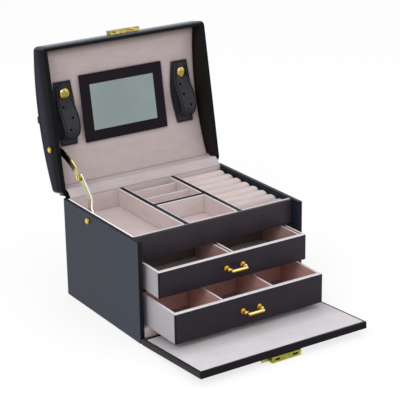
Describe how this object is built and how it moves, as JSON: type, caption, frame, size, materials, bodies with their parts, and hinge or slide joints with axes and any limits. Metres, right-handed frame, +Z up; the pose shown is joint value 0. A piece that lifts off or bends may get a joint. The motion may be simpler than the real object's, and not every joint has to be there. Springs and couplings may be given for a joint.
{
  "type": "jewelry box",
  "caption": "Tiered jewelry box with a mirrored domed lid, a top tray with a ring cushion, pull-out drawers and a drop-down locking front.",
  "frame": {"origin": "centre of the carcass's footprint, on the surface it stands on", "axes": "+Z up, -Y out of the front where the drawers open, +X to the right seen from the front"},
  "size_m": [0.177, 0.2871, 0.2384],
  "materials": {
    "leather": "fine-grained, dark slate-black leatherette",
    "velvet": "short-pile, pinkish-beige velvet",
    "flap_velvet": "short-pile, pale grey velvet",
    "brass": "polished",
    "mirror": "silvered"
  },
  "bodies": {
    "carcass": {"left_side_panel": "leather", "right_side_panel": "leather", "back_panel": "leather", "bottom_panel": "leather", "base_riser": "velvet", "left_inner_wall": "velvet", "right_inner_wall": "velvet", "drawer_shelf": "velvet", "flap_hinge_strip": "velvet", "lid_hinge_strip": "leather", "tray_floor": "leather", "tray_fascia": "leather", "left_tray_lining": "velvet", "front_tray_lining": "velvet", "back_tray_lining": "velvet", "tray_floor_lining": "velvet", "left_divider": "velvet", "right_divider": "velvet", "cross_divider": "velvet", "rear_slot_partition": "velvet", "front_slot_partition": "velvet", "ring_cushion": "velvet", "stay_body_rivet": "brass"},
    "lid": {"lid_shell": "leather", "lid_lining": "velvet", "lid_hinge_cloth": "velvet", "mirror_frame": "leather", "mirror_glass": "mirror", "left_strap_pad": "leather", "right_strap_pad": "leather", "carry_handle": "leather", "upper_catch": "brass", "stay_lid_rivet": "brass"},
    "stay_upper": {"stay_upper_link": "brass", "stay_middle_rivet": "brass"},
    "stay_lower": {"stay_lower_link": "brass"},
    "left_strap": {"left_snap_strap": "leather", "left_snap_cap": "brass"},
    "right_strap": {"right_snap_strap": "leather", "right_snap_cap": "brass"},
    "front_flap": {"flap_board": "leather", "flap_lining": "flap_velvet", "lock_case": "brass"},
    "lock_release": {"lock_button": "brass"},
    "upper_drawer": {"upper_drawer_front": "leather", "upper_drawer_tray": "velvet", "upper_drawer_long_divider": "velvet", "upper_drawer_cross_divider": "velvet", "upper_pull_left_post": "brass", "upper_pull_right_post": "brass"},
    "upper_bail": {"upper_pull_bail": "brass"},
    "lower_drawer": {"lower_drawer_front": "leather", "lower_drawer_tray": "velvet", "lower_drawer_left_divider": "velvet", "lower_drawer_right_divider": "velvet", "lower_drawer_cross_divider": "velvet", "lower_pull_left_post": "brass", "lower_pull_right_post": "brass"},
    "lower_bail": {"lower_pull_bail": "brass"}
  },
  "joints": [
    {"name": "lid_hinge", "type": "hinge", "parent": "carcass", "child": "lid", "pos_m": [0, 0.0682, 0.0968], "axis": [1, 0, 0], "range_deg": [0, 100.5]},
    {"name": "stay_lower_pivot", "type": "hinge", "parent": "carcass", "child": "stay_lower", "pos_m": [0, 0.021, 0.0883], "axis": [1, 0, 0], "range_deg": [0, 112.3]},
    {"name": "stay_upper_pivot", "type": "hinge", "parent": "lid", "child": "stay_upper", "pos_m": [0, 0.08845, 0.13749], "axis": [-1, 0, 0], "range_deg": [0, 110.3]},
    {"name": "left_strap_fold", "type": "hinge", "parent": "lid", "child": "left_strap", "pos_m": [-0.0642, 0.0934, 0.14329], "axis": [-1, 0, 0], "range_deg": [-75, 0]},
    {"name": "right_strap_fold", "type": "hinge", "parent": "lid", "child": "right_strap", "pos_m": [0.0642, 0.0934, 0.14329], "axis": [-1, 0, 0], "range_deg": [-75, 0]},
    {"name": "flap_hinge", "type": "hinge", "parent": "carcass", "child": "front_flap", "pos_m": [0, -0.0705, 0.0034], "axis": [-1, 0, 0], "range_deg": [0, 5]},
    {"name": "lock_release_slide", "type": "slide", "parent": "front_flap", "child": "lock_release", "axis": [1, 0, 0], "range_m": [0, 0.0015], "stiffness_N_per_m": 60},
    {"name": "upper_drawer_slide", "type": "slide", "parent": "carcass", "child": "upper_drawer", "axis": [0, -1, 0], "range_m": [-0.0274, 0.0326]},
    {"name": "upper_bail_swing", "type": "hinge", "parent": "upper_drawer", "child": "upper_bail", "pos_m": [0, -0.0896, 0.05955], "axis": [1, 0, 0], "range_deg": [-80, 75]},
    {"name": "lower_drawer_slide", "type": "slide", "parent": "carcass", "child": "lower_drawer", "axis": [0, -1, 0], "range_m": [-0.0526, 0.0074]},
    {"name": "lower_bail_swing", "type": "hinge", "parent": "lower_drawer", "child": "lower_bail", "pos_m": [0, -0.1148, 0.02795], "axis": [1, 0, 0], "range_deg": [-80, 75]}
  ],
  "couplings": [
    {"joint": "stay_lower_pivot", "follows": "lid_hinge", "ratio": 1.1163},
    {"joint": "stay_upper_pivot", "follows": "lid_hinge", "ratio": 1.096}
  ]
}
